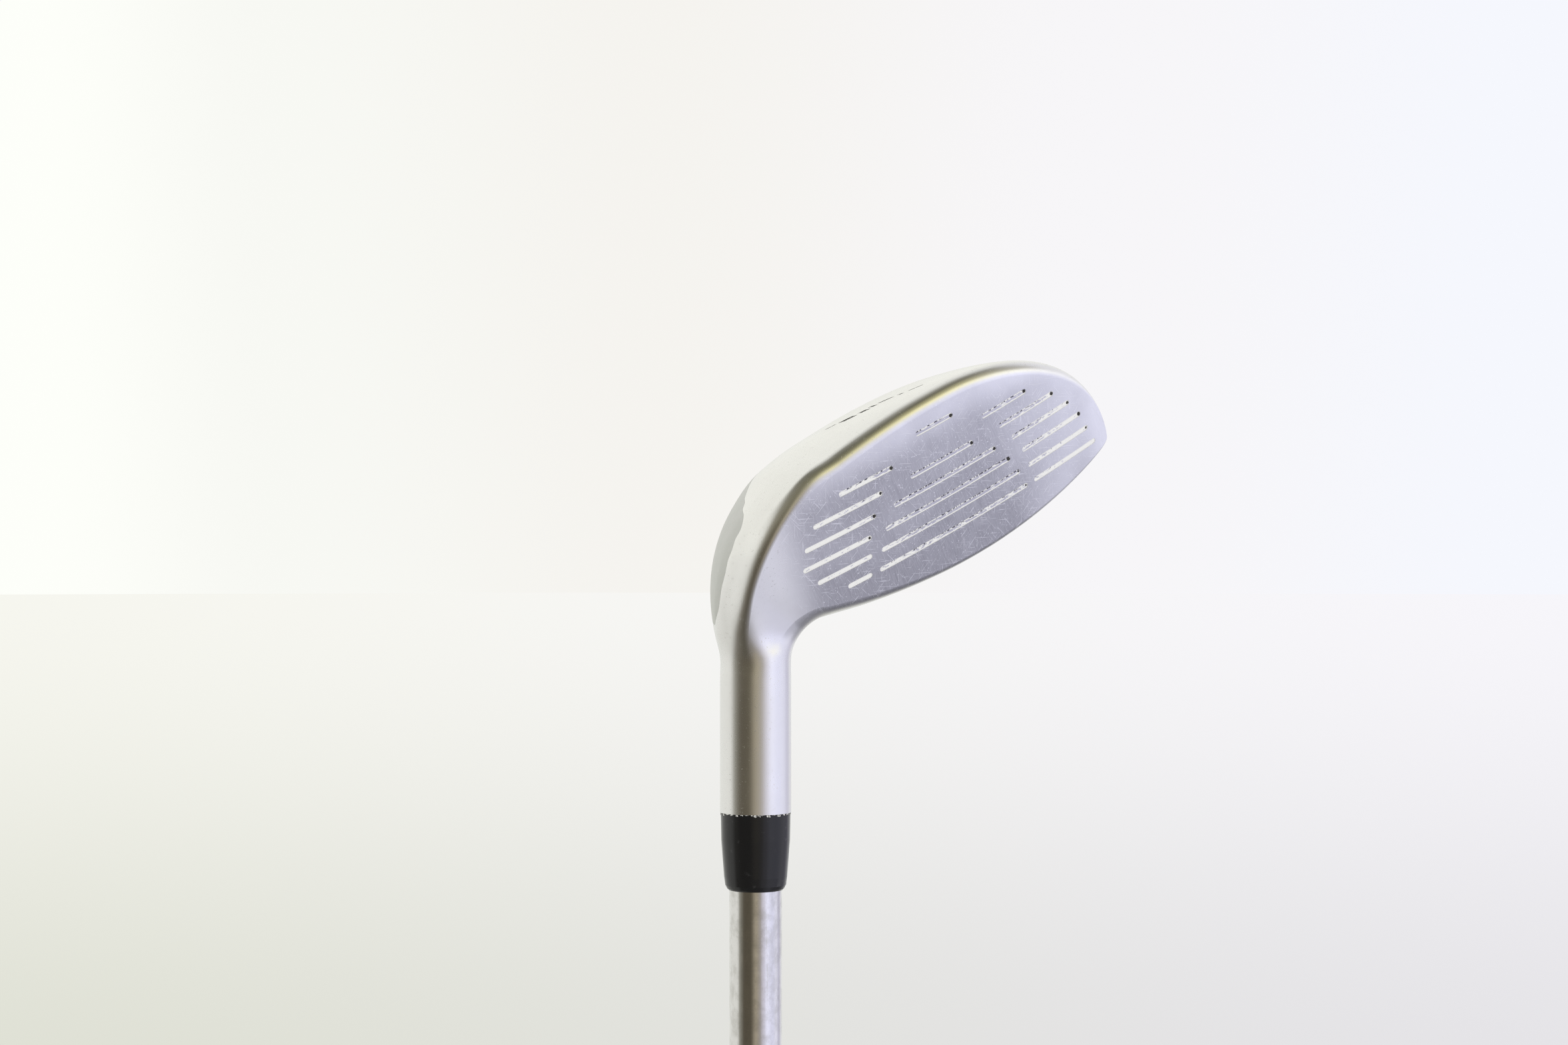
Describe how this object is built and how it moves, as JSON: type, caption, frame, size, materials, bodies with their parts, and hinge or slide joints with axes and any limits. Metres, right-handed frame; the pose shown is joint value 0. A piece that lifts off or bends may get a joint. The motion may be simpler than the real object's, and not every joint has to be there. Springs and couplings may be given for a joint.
{
  "type": "hybrid golf club",
  "caption": "Right-handed hybrid golf club: rounded hollow steel head with a grooved face, stepped steel shaft and tapered rubber grip.",
  "frame": {"origin": "centre of the grip's flat butt face, on the shaft axis, at the mouth of the vent hole", "axes": "+Z along the shaft axis from the butt to the head; the face looks towards -Y and the toe points towards +X and up"},
  "size_m": [0.0873, 0.0453, 1.0313],
  "materials": {
    "head_steel": "satin polish",
    "face_steel": "brushed",
    "groove_paint": "worn white paint",
    "crown_paint": "gloss",
    "sole_paint": "satin",
    "mark_paint": "satin",
    "plug_foam": "matte",
    "epoxy": "cured",
    "hot_melt": "translucent",
    "ferrule_plastic": "polished",
    "shaft_chrome": "polished",
    "weight_brass": "plain",
    "band_film": "gloss film",
    "grip_tape": "plain",
    "grip_rubber": "moulded",
    "grip_paint": "matte"
  },
  "bodies": {
    "root": {"head_body": "head_steel", "face_plate": "face_steel", "score_line_paint": "groove_paint", "crown_plate": "crown_paint", "sole_paint_panel": "sole_paint", "sole_mark_paint": "mark_paint", "hosel_plug": "plug_foam", "epoxy_bond": "epoxy", "hot_melt": "hot_melt", "ferrule": "ferrule_plastic", "shaft": "shaft_chrome", "tip_weight": "weight_brass", "shaft_band": "band_film", "grip_tape": "grip_tape", "grip_sleeve": "grip_rubber", "grip_mark_paint": "grip_paint", "grip_cap": "grip_rubber"}
  },
  "joints": []
}
